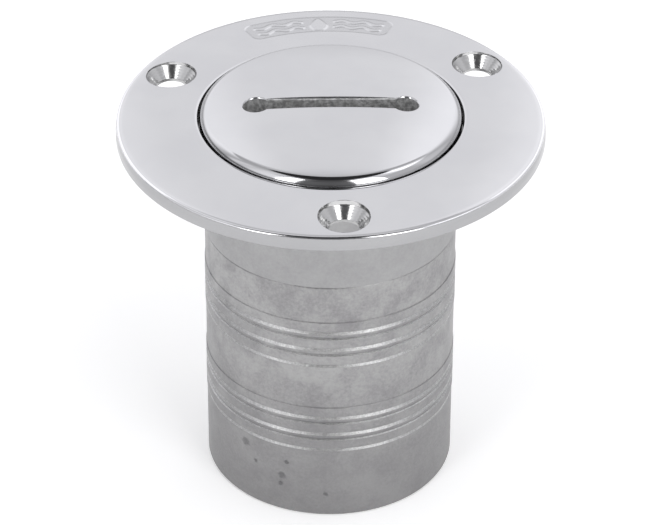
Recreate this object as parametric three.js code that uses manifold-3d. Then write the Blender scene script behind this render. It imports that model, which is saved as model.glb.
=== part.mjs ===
// Deck fill cap: a cast filler body with a screwed-in cap, its seal, and the retaining chain inside the neck.
// Millimetres, +Z up. The origin is the centre of the neck's bottom end. One screw hole points to -Y.
import * as THREE from 'three';
import { mergeVertices } from 'three/addons/utils/BufferGeometryUtils.js';
import Module from 'manifold-3d';

// ---------------------------------------------------------------- driving dimensions
const ROUND = 48;                 // facets around every large turned shape

const FLANGE_R = 42.5;            // 85 mm flange
const FLANGE_BOTTOM = 76.8;
const FLANGE_CORNER = 0.75;       // width of the rounding between the top face and the side
const DOME_FLAT_R = 24.0;         // inside this radius the top face is level
const DOME_REF_R = 35.6;
const DOME_TOP = 80.48;
const DOME_DROP = 0.33;           // fall of the top face at the screw-hole circle
const DOME_POWER = 2;

const RECESS_R = 26.4;            // round recess the cap sinks into
const RECESS_FLOOR = 76.6;
const SEAT_R = 24.9;              // chamfered seat for the seal
const SEAT_DEPTH = 1.5;

const NECK_R = 25.25;             // takes a 50 mm hose
const RIB_R = 25.38;
const GROOVE_R = 25.02;
const BAND_R = 25.36;             // smoother band above the upper ribs
const BAND_BOTTOM = 56.4;
const BORE_R = 22.6;
const BOSS_R = 29.4;
const BOSS_START = 66.2;
const LIP_R = 19.2;               // throat that stops the chain's keeper bar
const LIP_BOTTOM = 63.6;
const LIP_TOP = 65.6;
const RIB_PITCH = 3.98;
const UPPER_RIBS = 47.9;          // top of each group of hose ribs
const LOWER_RIBS = 27.1;
const RIBS_PER_GROUP = 3;

const HOLE_CIRCLE_R = 35.6;
const HOLE_R = 3;
const SINK_R = 5.08;
const SINK_EDGE = 79.43;          // height where the cone starts below its short straight land
const HOLE_ANGLES = [-90, 30, 150];

const PANEL_INNER_R = 32.2;
const PANEL_OUTER_R = 39.3;
const PANEL_HALF_ANGLE = 24.4;
const PANEL_DEPTH = 0.3;
const WAVE_RADII = [34.6, 36.9];  // middle lines of the raised wavy bars
const WAVE_HALF_WIDTH = 0.55;
const WAVE_SWELL = 0.4;
const WAVE_START = 3.6;           // along the panel, from its middle
const WAVE_END = 12.6;

const CAP_R = 25.95;
const CAP_SPHERE_R = 160;
const CAP_TOP = 83.5;
const CAP_RIM_R = 2;              // rounding between the dome and the cap's side
const CAP_UNDERSIDE = 77.0;
const SKIRT_R = 22.3;
const SKIRT_INNER_R = 19.6;
const SKIRT_BOTTOM = 66.3;
const CAP_CEILING = 76.3;
const HUB_R = 6.5;
const HUB_BOTTOM = 73.5;

const SLOT_END_R = 2.6;           // round ends of the key slot
const SLOT_END_AT = 14.7;
const SLOT_HALF_WIDTH = 1.7;
const SLOT_FLOOR = 78.9;
const SLOT_TURN = -3;             // degrees from X

const THREAD_PITCH = 2.31;        // 11 threads per inch
const THREAD_TURNS = 2.75;
const THREAD_HEIGHT = 1.15;
const THREAD_BASE = 1.45;
const THREAD_CREST = 0.45;
const CAP_THREAD_BOTTOM = 67.25;  // middle of the cap's ridge at its lower end
const BODY_THREAD_ROOT_R = 23.8;

const SEAL_INNER_R = 22.45;
const SEAL_OUTER_R = 24.75;
const SEAL_BOTTOM = 74.85;
const SEAL_TOP = 76.85;

const SCREW_R = 1.9;
const SCREW_HOLE_R = 2.05;
const SCREW_HEAD_R = 3.6;
const SCREW_HEAD_TOP = 71.7;
const SCREW_HEAD_BOTTOM = 69.4;
const SCREW_END = 77.2;

const SWIVEL_R = 7.2;
const SWIVEL_HOLE_R = 2.35;
const SWIVEL_BOTTOM = 72.0;
const SWIVEL_TOP = 73.2;
const BAIL_WIRE_R = 0.9;
const BAIL_HALF_WIDTH = 5.6;
const BAIL_BEND = 68.5;           // height of the centre of the bail's lower bend

const LINKS = 8;
const WIRE_R = 0.8;
const LINK_LENGTH = 7.8;          // between the centre lines of its two ends
const LINK_HALF_WIDTH = 2.2;
const LINK_GAP = 0.15;

const KEEPER_BAR_R = 1.6;
const KEEPER_HALF_LENGTH = 20;
const KEEPER_EYE_R = 2.4;

// ---------------------------------------------------------------- small helpers
const wasm = await Module();
wasm.setup();

const DEG = Math.PI / 180;

function solidOf(geometry) {
  const bare = geometry.clone();
  bare.deleteAttribute('normal');
  bare.deleteAttribute('uv');
  const merged = mergeVertices(bare, 1e-4);
  const index = merged.index.array;
  const kept = [];
  for (let i = 0; i < index.length; i += 3) {
    const [a, b, c] = [index[i], index[i + 1], index[i + 2]];
    if (a !== b && b !== c && c !== a) {
      kept.push(a, b, c);
    }
  }
  const vertProperties = new Float32Array(merged.attributes.position.array);
  if (signedVolume(vertProperties, kept) < 0) {
    for (let i = 0; i < kept.length; i += 3) {
      [kept[i], kept[i + 1]] = [kept[i + 1], kept[i]];
    }
  }
  const mesh = new wasm.Mesh({ numProp: 3, vertProperties, triVerts: new Uint32Array(kept) });
  return new wasm.Manifold(mesh);
}

function signedVolume(points, triangles) {
  const [a, b, c] = [new THREE.Vector3(), new THREE.Vector3(), new THREE.Vector3()];
  let sum = 0;
  for (let i = 0; i < triangles.length; i += 3) {
    a.fromArray(points, triangles[i] * 3);
    b.fromArray(points, triangles[i + 1] * 3);
    c.fromArray(points, triangles[i + 2] * 3);
    sum += a.dot(b.cross(c)) / 6;
  }
  return sum;
}

function geometryOf(solid) {
  const mesh = solid.getMesh();
  const points = [];
  for (let i = 0; i < mesh.vertProperties.length; i += mesh.numProp) {
    points.push(mesh.vertProperties[i], mesh.vertProperties[i + 1], mesh.vertProperties[i + 2]);
  }
  const geometry = new THREE.BufferGeometry();
  geometry.setAttribute('position', new THREE.Float32BufferAttribute(points, 3));
  geometry.setIndex([...mesh.triVerts]);
  return geometry;
}

// A turned shape from a profile of [radius, height] pairs. A profile off the axis closes on itself.
function turned(profile, facets = ROUND) {
  const points = profile.map(([r, z]) => new THREE.Vector2(r, z));
  const onAxis = profile[0][0] === 0 && profile[profile.length - 1][0] === 0;
  if (!onAxis) {
    points.push(points[0].clone());
  }
  const geometry = new THREE.LatheGeometry(points, facets);
  geometry.rotateX(Math.PI / 2);
  return solidOf(geometry);
}

function cylinder(radius, bottom, top, facets) {
  const geometry = new THREE.CylinderGeometry(radius, radius, top - bottom, facets);
  geometry.rotateX(Math.PI / 2);
  geometry.translate(0, 0, (top + bottom) / 2);
  return solidOf(geometry);
}

function prism(shape, bottom, top) {
  const geometry = new THREE.ExtrudeGeometry(shape, { depth: top - bottom, bevelEnabled: false });
  geometry.translate(0, 0, bottom);
  return solidOf(geometry);
}

// Skins a list of rings that all have the same number of points, with flat ends or joined into a loop.
function skinned(rings, loop) {
  const size = rings[0].length;
  const points = [];
  rings.forEach((ring) => ring.forEach((p) => points.push(p.x, p.y, p.z)));
  const index = [];
  const last = loop ? rings.length : rings.length - 1;
  for (let i = 0; i < last; i += 1) {
    const next = (i + 1) % rings.length;
    for (let j = 0; j < size; j += 1) {
      const k = (j + 1) % size;
      index.push(i * size + j, next * size + j, next * size + k);
      index.push(i * size + j, next * size + k, i * size + k);
    }
  }
  if (!loop) {
    const end = (rings.length - 1) * size;
    for (let j = 1; j < size - 1; j += 1) {
      index.push(0, j, j + 1);
      index.push(end, end + j + 1, end + j);
    }
  }
  const geometry = new THREE.BufferGeometry();
  geometry.setAttribute('position', new THREE.Float32BufferAttribute(points, 3));
  geometry.setIndex(index);
  return solidOf(geometry);
}

// Round wire bent along a flat path. `across` is the direction at right angles to the path's plane.
function wire(path, radius, across, loop, sides = 8) {
  const rings = path.map((p, i) => {
    const before = path[loop ? (i + path.length - 1) % path.length : Math.max(i - 1, 0)];
    const after = path[loop ? (i + 1) % path.length : Math.min(i + 1, path.length - 1)];
    const along = new THREE.Vector3().subVectors(after, before).normalize();
    const side = new THREE.Vector3().crossVectors(along, across).normalize();
    return Array.from({ length: sides }, (_, j) => {
      const turn = ((j + 0.5) / sides) * 2 * Math.PI;
      return p.clone()
        .addScaledVector(side, radius * Math.cos(turn))
        .addScaledVector(across, radius * Math.sin(turn));
    });
  });
  return skinned(rings, loop);
}

// ---------------------------------------------------------------- shared shapes
function faceHeight(r) {
  const out = Math.max(r - DOME_FLAT_R, 0) / (DOME_REF_R - DOME_FLAT_R);
  return DOME_TOP - DOME_DROP * out ** DOME_POWER;
}

function capHeight(r) {
  return CAP_TOP - CAP_SPHERE_R + Math.sqrt(CAP_SPHERE_R ** 2 - r ** 2);
}

// A screw-thread ridge standing on a round wall. `outward` is 1 on the cap's skirt, -1 inside the body.
function threadRidge(wallR, outward, middleBottom) {
  const rings = [];
  const steps = THREAD_TURNS * ROUND;
  for (let i = 0; i <= steps; i += 1) {
    const turn = (i / ROUND) * 2 * Math.PI;
    const z = middleBottom + (THREAD_PITCH * i) / ROUND;
    const runIn = Math.min(1, (i + 1) / 6, (steps - i + 1) / 6);
    const root = wallR - outward * 0.3;
    const crest = wallR + outward * THREAD_HEIGHT * runIn;
    const section = [
      [root, -THREAD_BASE / 2],
      [crest, -THREAD_CREST / 2],
      [crest, THREAD_CREST / 2],
      [root, THREAD_BASE / 2],
    ];
    rings.push(section.map(([r, dz]) => (
      new THREE.Vector3(r * Math.sin(turn), -r * Math.cos(turn), z + dz)
    )));
  }
  return skinned(rings, false);
}

function ribGroup(top) {
  const points = [[NECK_R, top + 0.15]];
  for (let i = 0; i < RIBS_PER_GROUP; i += 1) {
    const z = top - i * RIB_PITCH;
    points.push([RIB_R, z]);
    points.push([RIB_R, z - 2.1]);
    points.push([GROOVE_R, z - 2.6]);
  }
  points.push([NECK_R, top - RIBS_PER_GROUP * RIB_PITCH + 0.4]);
  return points;
}

// ---------------------------------------------------------------- the filler body
function fillerProfile() {
  const outer = [
    [BORE_R + 0.5, 0],
    [NECK_R - 0.5, 0],
    [NECK_R, 0.5],
    ...ribGroup(LOWER_RIBS).reverse(),
    ...ribGroup(UPPER_RIBS).reverse(),
    [NECK_R, BAND_BOTTOM - 0.1],
    [BAND_R, BAND_BOTTOM + 0.1],
    [BAND_R, BOSS_START],
    [BOSS_R, BOSS_START + 3.6],
    [BOSS_R, FLANGE_BOTTOM - 1.2],
    [BOSS_R + 1.2, FLANGE_BOTTOM],
    [FLANGE_R - 0.15, FLANGE_BOTTOM],
    [FLANGE_R, FLANGE_BOTTOM + 0.15],
    [FLANGE_R, FLANGE_BOTTOM + 1.4],
    [FLANGE_R - FLANGE_CORNER / 2, faceHeight(FLANGE_R) - FLANGE_CORNER / 3],
  ];
  const faceRadii = [FLANGE_R - FLANGE_CORNER, 39.3, 37, 34, 30];
  const top = faceRadii.map((r) => [r, faceHeight(r)]);
  const inner = [
    [RECESS_R + 0.35, faceHeight(RECESS_R)],
    [RECESS_R, faceHeight(RECESS_R) - 0.35],
    [RECESS_R, RECESS_FLOOR],
    [SEAT_R, RECESS_FLOOR],
    [BODY_THREAD_ROOT_R + 0.3, RECESS_FLOOR - SEAT_DEPTH - 0.6],
    [BODY_THREAD_ROOT_R, RECESS_FLOOR - SEAT_DEPTH - 1.0],
    [BODY_THREAD_ROOT_R, LIP_TOP + 0.3],
    [LIP_R, LIP_TOP],
    [LIP_R, LIP_BOTTOM],
    [BORE_R, LIP_BOTTOM - 3.2],
    [BORE_R, 0.5],
  ];
  return [...outer, ...top, ...inner];
}

function holeCutter(angle) {
  const x = HOLE_CIRCLE_R * Math.cos(angle * DEG);
  const y = HOLE_CIRCLE_R * Math.sin(angle * DEG);
  const coneDepth = SINK_R - HOLE_R;
  const profile = [
    [0, FLANGE_BOTTOM - 2],
    [HOLE_R, FLANGE_BOTTOM - 2],
    [HOLE_R, SINK_EDGE - coneDepth],
    [SINK_R, SINK_EDGE],
    [SINK_R, DOME_TOP + 2],
    [0, DOME_TOP + 2],
  ];
  return turned(profile, 24).translate([x, y, 0]);
}

// Point on the panel: `along` is the distance in millimetres along the arc, clockwise from its middle.
function panelPoint(r, along) {
  const middle = (PANEL_INNER_R + PANEL_OUTER_R) / 2;
  const angle = Math.PI / 2 - along / middle;
  return new THREE.Vector2(r * Math.cos(angle), r * Math.sin(angle));
}

function arcPoints(r, from, to, steps) {
  return Array.from({ length: steps + 1 }, (_, i) => panelPoint(r, from + ((to - from) * i) / steps));
}

function waveShape(r, from, to) {
  const steps = 10;
  const edge = (offset) => Array.from({ length: steps + 1 }, (_, i) => {
    const swell = WAVE_SWELL * Math.sin((i / steps) * 4 * Math.PI);
    return panelPoint(r + offset + swell, from + ((to - from) * i) / steps);
  });
  return new THREE.Shape([...edge(-WAVE_HALF_WIDTH), ...edge(WAVE_HALF_WIDTH).reverse()]);
}

function dropShape() {
  const middle = (PANEL_INNER_R + PANEL_OUTER_R) / 2;
  const outline = [];
  for (let i = 0; i < 14; i += 1) {
    const turn = Math.PI * (-0.28 + (1.56 * i) / 13) + Math.PI;
    outline.push(panelPoint(middle - 0.75 + 1.75 * Math.sin(turn), 1.75 * Math.cos(turn)));
  }
  outline.push(panelPoint(middle + 2.75, 0));
  return new THREE.Shape(outline);
}

// Shallow sunk panel with a raised drop between wavy lines, all following the domed face.
function panelCutter() {
  const half = (PANEL_HALF_ANGLE * DEG * (PANEL_INNER_R + PANEL_OUTER_R)) / 2;
  const sector = new THREE.Shape([
    ...arcPoints(PANEL_INNER_R, -half, half, 10),
    ...arcPoints(PANEL_OUTER_R, half, -half, 10),
  ]);
  const floorRadii = [44, 40.5, 38.5, 36.5, 34.5, 32.5, 30];
  const below = turned([
    [28, 70],
    [44, 70],
    ...floorRadii.map((r) => [r, faceHeight(r) - PANEL_DEPTH]),
    [28, faceHeight(28) - PANEL_DEPTH],
  ]);
  let cutter = prism(sector, 76, 84).subtract(below);
  cutter = cutter.subtract(prism(dropShape(), 75, 85));
  for (const side of [-1, 1]) {
    for (const r of WAVE_RADII) {
      cutter = cutter.subtract(prism(waveShape(r, side * WAVE_START, side * WAVE_END), 75, 85));
    }
  }
  return cutter;
}

function fillerBody() {
  let body = turned(fillerProfile());
  for (const angle of HOLE_ANGLES) {
    body = body.subtract(holeCutter(angle));
  }
  body = body.subtract(panelCutter());
  return body.add(threadRidge(BODY_THREAD_ROOT_R, -1, CAP_THREAD_BOTTOM - THREAD_PITCH / 2));
}

// ---------------------------------------------------------------- the cap
function slotShape() {
  const reach = Math.asin(SLOT_HALF_WIDTH / SLOT_END_R);
  const outline = [];
  for (const side of [1, -1]) {
    for (let i = 0; i <= 12; i += 1) {
      const turn = -(Math.PI - reach) + (2 * (Math.PI - reach) * i) / 12;
      const x = side * (SLOT_END_AT + SLOT_END_R * Math.cos(turn));
      outline.push(new THREE.Vector2(x, side * SLOT_END_R * Math.sin(turn)));
    }
  }
  return new THREE.Shape(outline);
}

// The rounded rim, from the cap's side up to where it runs into the dome without a crease.
function rimPoints(steps) {
  const centreR = CAP_R - CAP_RIM_R;
  const inside = CAP_SPHERE_R - CAP_RIM_R;
  const centreZ = CAP_TOP - CAP_SPHERE_R + Math.sqrt(inside ** 2 - centreR ** 2);
  const sweep = Math.acos(centreR / inside);
  return Array.from({ length: steps + 1 }, (_, i) => {
    const turn = (sweep * i) / steps;
    return [centreR + CAP_RIM_R * Math.cos(turn), centreZ + CAP_RIM_R * Math.sin(turn)];
  });
}

function fillCap() {
  const domeRadii = [20, 15, 10, 5];
  let cap = turned([
    [0, HUB_BOTTOM],
    [HUB_R - 0.4, HUB_BOTTOM],
    [HUB_R, HUB_BOTTOM + 0.4],
    [HUB_R, CAP_CEILING],
    [SKIRT_INNER_R - 1, CAP_CEILING],
    [SKIRT_INNER_R, CAP_CEILING - 1],
    [SKIRT_INNER_R, SKIRT_BOTTOM],
    [SKIRT_R - 0.5, SKIRT_BOTTOM],
    [SKIRT_R, SKIRT_BOTTOM + 0.5],
    [SKIRT_R, CAP_UNDERSIDE],
    [CAP_R - 0.3, CAP_UNDERSIDE],
    [CAP_R, CAP_UNDERSIDE + 0.3],
    ...rimPoints(5),
    ...domeRadii.map((r) => [r, capHeight(r)]),
    [0, CAP_TOP],
  ]);
  cap = cap.add(threadRidge(SKIRT_R, 1, CAP_THREAD_BOTTOM));
  cap = cap.subtract(prism(slotShape(), SLOT_FLOOR, CAP_TOP + 2).rotate([0, 0, SLOT_TURN]));
  return cap.subtract(cylinder(SCREW_HOLE_R, HUB_BOTTOM - 1, SCREW_END + 0.3, 20));
}

function capSeal() {
  return turned([
    [SEAL_INNER_R, SEAL_BOTTOM + 0.5],
    [SEAL_INNER_R + 0.5, SEAL_BOTTOM],
    [SEAL_OUTER_R - 1.0, SEAL_BOTTOM],
    [SEAL_OUTER_R - 0.35, SEAL_BOTTOM + 0.6],
    [SEAL_OUTER_R, SEAL_TOP - 0.6],
    [SEAL_OUTER_R - 0.55, SEAL_TOP],
    [SEAL_INNER_R + 0.5, SEAL_TOP],
    [SEAL_INNER_R, SEAL_TOP - 0.5],
  ]);
}

// ---------------------------------------------------------------- swivel, screw and chain
function chainScrew() {
  const head = turned([
    [0, SCREW_HEAD_BOTTOM],
    [SCREW_HEAD_R - 1.3, SCREW_HEAD_BOTTOM],
    [SCREW_HEAD_R - 0.3, SCREW_HEAD_BOTTOM + 0.6],
    [SCREW_HEAD_R, SCREW_HEAD_BOTTOM + 1.4],
    [SCREW_HEAD_R, SCREW_HEAD_TOP],
    [SCREW_R, SCREW_HEAD_TOP],
    [SCREW_R, SCREW_END - 0.5],
    [SCREW_R - 0.5, SCREW_END],
    [0, SCREW_END],
  ], 20);
  let screw = head;
  for (const turn of [0, Math.PI / 2]) {
    const bar = new THREE.BoxGeometry(4.4, 0.9, 2.4);
    bar.rotateZ(turn + Math.PI / 4);
    bar.translate(0, 0, SCREW_HEAD_BOTTOM);
    screw = screw.subtract(solidOf(bar));
  }
  return screw;
}

function chainSwivel() {
  const plate = turned([
    [SWIVEL_HOLE_R, SWIVEL_BOTTOM],
    [SWIVEL_R - 0.3, SWIVEL_BOTTOM],
    [SWIVEL_R, SWIVEL_BOTTOM + 0.3],
    [SWIVEL_R, SWIVEL_TOP - 0.3],
    [SWIVEL_R - 0.3, SWIVEL_TOP],
    [SWIVEL_HOLE_R, SWIVEL_TOP],
  ], 28);
  const path = [new THREE.Vector3(BAIL_HALF_WIDTH, 0, SWIVEL_BOTTOM + 0.6)];
  for (let i = 0; i <= 12; i += 1) {
    const turn = -(i / 12) * Math.PI;
    const x = BAIL_HALF_WIDTH * Math.cos(turn);
    path.push(new THREE.Vector3(x, 0, BAIL_BEND + BAIL_HALF_WIDTH * Math.sin(turn)));
  }
  path.push(new THREE.Vector3(-BAIL_HALF_WIDTH, 0, SWIVEL_BOTTOM + 0.6));
  return plate.add(wire(path, BAIL_WIRE_R, new THREE.Vector3(0, 1, 0), false));
}

const LINK_DROP = LINK_LENGTH - 2 * WIRE_R - LINK_GAP;
const FIRST_LINK_TOP = BAIL_BEND - BAIL_HALF_WIDTH + BAIL_WIRE_R + LINK_GAP + WIRE_R;

function linkTop(k) {
  return FIRST_LINK_TOP - k * LINK_DROP;
}

// Links with an even number lie across Y, the others across X.
function chainLink(k) {
  const upperBend = linkTop(k) - LINK_HALF_WIDTH;
  const lowerBend = linkTop(k) - LINK_LENGTH + LINK_HALF_WIDTH;
  const path = [];
  for (const [bend, start] of [[upperBend, 0], [lowerBend, Math.PI]]) {
    for (let i = 0; i <= 6; i += 1) {
      const turn = start + (i / 6) * Math.PI;
      const out = LINK_HALF_WIDTH * Math.cos(turn);
      const z = bend + LINK_HALF_WIDTH * Math.sin(turn);
      path.push(k % 2 === 0 ? new THREE.Vector3(0, out, z) : new THREE.Vector3(out, 0, z));
    }
  }
  const across = k % 2 === 0 ? new THREE.Vector3(1, 0, 0) : new THREE.Vector3(0, 1, 0);
  return wire(path, WIRE_R, across, true);
}

function chainKeeper() {
  const eyeTop = linkTop(LINKS - 1) - LINK_LENGTH + 2 * WIRE_R + LINK_GAP;
  const eyeCentre = eyeTop - KEEPER_EYE_R;
  const path = Array.from({ length: 14 }, (_, i) => {
    const turn = (i / 14) * 2 * Math.PI;
    return new THREE.Vector3(0, KEEPER_EYE_R * Math.cos(turn), eyeCentre + KEEPER_EYE_R * Math.sin(turn));
  });
  const eye = wire(path, WIRE_R, new THREE.Vector3(1, 0, 0), true);
  const barHeight = eyeCentre - KEEPER_EYE_R - KEEPER_BAR_R + 0.25;
  const bar = new THREE.LatheGeometry([
    [0, -KEEPER_HALF_LENGTH],
    [KEEPER_BAR_R * 0.6, -KEEPER_HALF_LENGTH + 0.3],
    [KEEPER_BAR_R, -KEEPER_HALF_LENGTH + 1.2],
    [KEEPER_BAR_R, KEEPER_HALF_LENGTH - 1.2],
    [KEEPER_BAR_R * 0.6, KEEPER_HALF_LENGTH - 0.3],
    [0, KEEPER_HALF_LENGTH],
  ].map(([r, along]) => new THREE.Vector2(r, along)), 12);
  bar.rotateZ(Math.PI / 2);
  bar.translate(0, 0, barHeight);
  return eye.add(solidOf(bar));
}

// ---------------------------------------------------------------- the assembly
const LOOKS = {
  cast_steel: { color: 0xb4b4b8, roughness: 0.42, metalness: 0.95 },
  polished_steel: { color: 0xd2d2d7, roughness: 0.24, metalness: 1.0 },
  black_rubber: { color: 0x191919, roughness: 0.8, metalness: 0.0 },
  bright_steel: { color: 0xc6c6ca, roughness: 0.3, metalness: 1.0 },
};

const assembly = new THREE.Group();
assembly.name = 'deck_fill_cap';

function place(name, solid, look) {
  const mesh = new THREE.Mesh(geometryOf(solid), new THREE.MeshStandardMaterial(LOOKS[look]));
  mesh.material.name = name;
  mesh.name = name;
  assembly.add(mesh);
}

place('filler_body', fillerBody(), 'cast_steel');
place('fill_cap', fillCap(), 'polished_steel');
place('cap_o_ring', capSeal(), 'black_rubber');
place('chain_screw', chainScrew(), 'bright_steel');
place('chain_swivel', chainSwivel(), 'bright_steel');
for (let k = 0; k < LINKS; k += 1) {
  place(`chain_link_${k + 1}`, chainLink(k), 'bright_steel');
}
place('chain_keeper', chainKeeper(), 'bright_steel');

export default assembly;
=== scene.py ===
"""Deck fill cap: fine surfaces, steel finishes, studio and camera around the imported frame."""
import math

import bmesh
import bpy
from mathutils import Matrix, Vector


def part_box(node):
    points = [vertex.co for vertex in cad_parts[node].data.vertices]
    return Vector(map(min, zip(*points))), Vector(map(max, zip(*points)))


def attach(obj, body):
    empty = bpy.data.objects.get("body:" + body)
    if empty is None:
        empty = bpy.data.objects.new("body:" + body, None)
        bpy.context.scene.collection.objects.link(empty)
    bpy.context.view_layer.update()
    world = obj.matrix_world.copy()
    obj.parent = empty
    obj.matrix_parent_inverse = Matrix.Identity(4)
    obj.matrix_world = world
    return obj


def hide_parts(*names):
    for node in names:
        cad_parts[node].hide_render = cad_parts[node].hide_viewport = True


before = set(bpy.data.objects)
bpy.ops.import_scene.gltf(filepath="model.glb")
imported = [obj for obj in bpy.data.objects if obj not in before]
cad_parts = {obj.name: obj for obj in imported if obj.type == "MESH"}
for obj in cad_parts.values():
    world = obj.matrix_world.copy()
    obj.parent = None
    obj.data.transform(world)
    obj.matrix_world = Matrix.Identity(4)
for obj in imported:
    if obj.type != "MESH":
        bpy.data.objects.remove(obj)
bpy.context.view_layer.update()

# ------------------------------------------------------------------ sizes, in millimetres
MM = 0.001
body_low, body_high = (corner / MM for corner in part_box("filler_body"))
cap_low, cap_high = (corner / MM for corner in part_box("fill_cap"))
seal_low, seal_high = (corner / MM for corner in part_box("cap_o_ring"))

FLANGE_R = (body_high.y - body_low.y) / 2
FLANGE_BOTTOM = 76.8
DOME_TOP = 80.48
DOME_FLAT_R = 24.0
DOME_REF_R = 35.6
DOME_DROP = 0.33
DOME_POWER = 2
EDGE_START_R = FLANGE_R - 1.45
RECESS_BUFF_R = 27.3
RECESS_BUFF_WIDTH = 0.9
RECESS_BUFF_DROP = 0.12
FACE_TOLERANCE = 0.02

RECESS_R = 26.4
RECESS_FLOOR = 76.6
SEAT_R = 24.9
SEAT_DEPTH = 1.5
THREAD_ROOT_R = 23.8
LIP_R = 19.2
LIP_BOTTOM = 63.6
LIP_TOP = 65.6
BORE_R = 22.6

NECK_R = 25.25
LAND_R = 25.37
GROOVE_R = 24.98
BEAD_R = 25.4
BAND_R = 25.38
BAND_BOTTOM = 56.4
BOSS_R = 29.4
BOSS_START = 66.2
RIB_PITCH = 3.98
RIB_TOPS = (47.9, 27.1)
RIB_LINE = 0.6
RIBS = 3
# Small pits near the neck's end: degrees round from the camera's side, height, size.
PITS = ((-46.6, 13.9, 1.0), (-40.6, 10.3, 0.5), (-24.2, 12.4, 0.5), (-26.7, 8.8, 0.85), (-27.2, 6.7, 0.6),
        (-5.8, 5.4, 0.5))

HOLE_CIRCLE_R = 35.6
HOLE_R = 3.0
SINK_R = 5.08
SINK_EDGE = 79.43
HOLE_ANGLES = (-90, 30, 150)

PANEL_INNER_R = 32.2
PANEL_OUTER_R = 39.3
PANEL_MIDDLE_R = (PANEL_INNER_R + PANEL_OUTER_R) / 2
PANEL_HALF_ANGLE = math.radians(24.4)
PANEL_DEPTH = 0.15
PANEL_EDGE = 0.8
PANEL_CORNER_R = 2.2
PANEL_REACH = 18
WAVE_RADII = (34.6, 36.9)
WAVE_HALF_WIDTH = 0.55
WAVE_SWELL = 0.4
WAVE_START = 3.6
WAVE_END = 12.6

CAP_R = (cap_high.y - cap_low.y) / 2
CAP_TOP = 83.5
CAP_DOME_POWER = 2.2
CAP_DOME_REF_R = 24.0
CAP_DOME_DROP = 1.59
CAP_RIM_R = 2.0
CAP_RIM_START_R = CAP_R - CAP_RIM_R + 0.29
CAP_UNDERSIDE = 77.0
CAP_CEILING = 76.3
SKIRT_R = 22.3
SKIRT_INNER_R = 19.6
SKIRT_BOTTOM = cap_low.z
HUB_R = 6.5
HUB_BOTTOM = 73.5
SLOT_END_R = 2.6
SLOT_END_AT = 14.7
SLOT_HALF_WIDTH = 1.7
SLOT_FLOOR = 78.9
SLOT_TURN = math.radians(-3)
SLOT_BREAK = 0.22

THREAD_PITCH = 2.31
THREAD_TURNS = 2.75
THREAD_STEPS = 128
THREAD_HEIGHT = 1.15
THREAD_BASE = 1.45
THREAD_CREST = 0.45
CAP_THREAD_BOTTOM = 67.25

SCREW_R = 1.9
SCREW_HEAD_R = 3.6
SCREW_HEAD_TOP = 71.7
SCREW_HEAD_BOTTOM = 69.4
SCREW_END = 77.2
SWIVEL_R = 7.2
SWIVEL_HOLE_R = 2.35
SWIVEL_BOTTOM = 72.0
SWIVEL_TOP = 73.2
BAIL_R = 0.87
BAIL_HALF_WIDTH = 5.6
BAIL_BEND = 68.5

LINKS = 8
WIRE_R = 0.78
LINK_HALF_WIDTH = 2.2
LINK_WELD_STEP = 28.5
LINK_WELD_SWELL = 0.13
KEEPER_EYE_R = 2.4
KEEPER_BAR_R = 1.57
KEEPER_HALF_LENGTH = 19.95

ROUND = 256

# Places of the finishes, and of the painted highlights on the ribs and the flange's rim, in the material
# lists of the filler body and the cap.
(FLANGE_POLISH, NECK_CASTING, COUNTERSINK_CUT, BORE_CUT, RECESS_CUT, FLANGE_SIDE, PANEL_FLOOR, RIB_GRAIN_AND_HIGHLIGHT,
 FLANGE_EDGE_HIGHLIGHT) = range(9)
CAP_POLISH, SLOT_CASTING, SKIRT_CUT = range(3)


# ------------------------------------------------------------------ outlines
def face_height(r):
    """Height of the flange's domed top face."""
    out = max(r - DOME_FLAT_R, 0) / (DOME_REF_R - DOME_FLAT_R)
    return DOME_TOP - DOME_DROP * out**DOME_POWER


def face_slope(r):
    out = max(r - DOME_FLAT_R, 0) / (DOME_REF_R - DOME_FLAT_R)
    return -DOME_DROP * DOME_POWER * out ** (DOME_POWER - 1) / (DOME_REF_R - DOME_FLAT_R)


def cap_height(r):
    return CAP_TOP - CAP_DOME_DROP * (r / CAP_DOME_REF_R) ** CAP_DOME_POWER


def cap_slope(r):
    return -CAP_DOME_DROP * CAP_DOME_POWER / CAP_DOME_REF_R * (r / CAP_DOME_REF_R) ** (CAP_DOME_POWER - 1)


def rounded(corners, steps=4):
    """Turns a closed outline of (r, z, radius) corners into points, each corner drawn as a small arc."""
    points = []
    count = len(corners)
    for i, (r, z, radius) in enumerate(corners):
        corner = Vector((r, z))
        before = Vector(corners[i - 1][:2]) - corner
        after = Vector(corners[(i + 1) % count][:2]) - corner
        if radius <= 0:
            points.append(corner)
            continue
        half = before.angle(after) / 2
        reach = min(radius / math.tan(half), 0.45 * before.length, 0.45 * after.length)
        start = corner + before.normalized() * reach
        end = corner + after.normalized() * reach
        for k in range(steps + 1):
            t = k / steps
            points.append(start * (1 - t) ** 2 + corner * 2 * t * (1 - t) + end * t**2)
    return points


# ------------------------------------------------------------------ mesh helpers
def new_object(name, points, faces):
    """A mesh object from points in millimetres."""
    mesh = bpy.data.meshes.new(name)
    mesh.from_pydata([tuple(c * MM for c in p) for p in points], [], faces)
    mesh.validate()
    obj = bpy.data.objects.new(name, mesh)
    bpy.context.scene.collection.objects.link(obj)
    return obj


def turned_mesh(outline, turns):
    """Points and faces of an outline turned about Z. Points on the axis are shared."""
    points = []
    rings = []
    for r, z in outline:
        if abs(r) < 1e-6:
            rings.append([len(points)] * turns)
            points.append((0, 0, z))
        else:
            rings.append(list(range(len(points), len(points) + turns)))
            for k in range(turns):
                turn = 2 * math.pi * k / turns
                points.append((r * math.cos(turn), r * math.sin(turn), z))
    faces = []
    for i, ring in enumerate(rings):
        following = rings[(i + 1) % len(rings)]
        for k in range(turns):
            m = (k + 1) % turns
            corners = list(dict.fromkeys((ring[k], ring[m], following[m], following[k])))
            if len(corners) > 2:
                faces.append(corners)
    return points, faces


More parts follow.
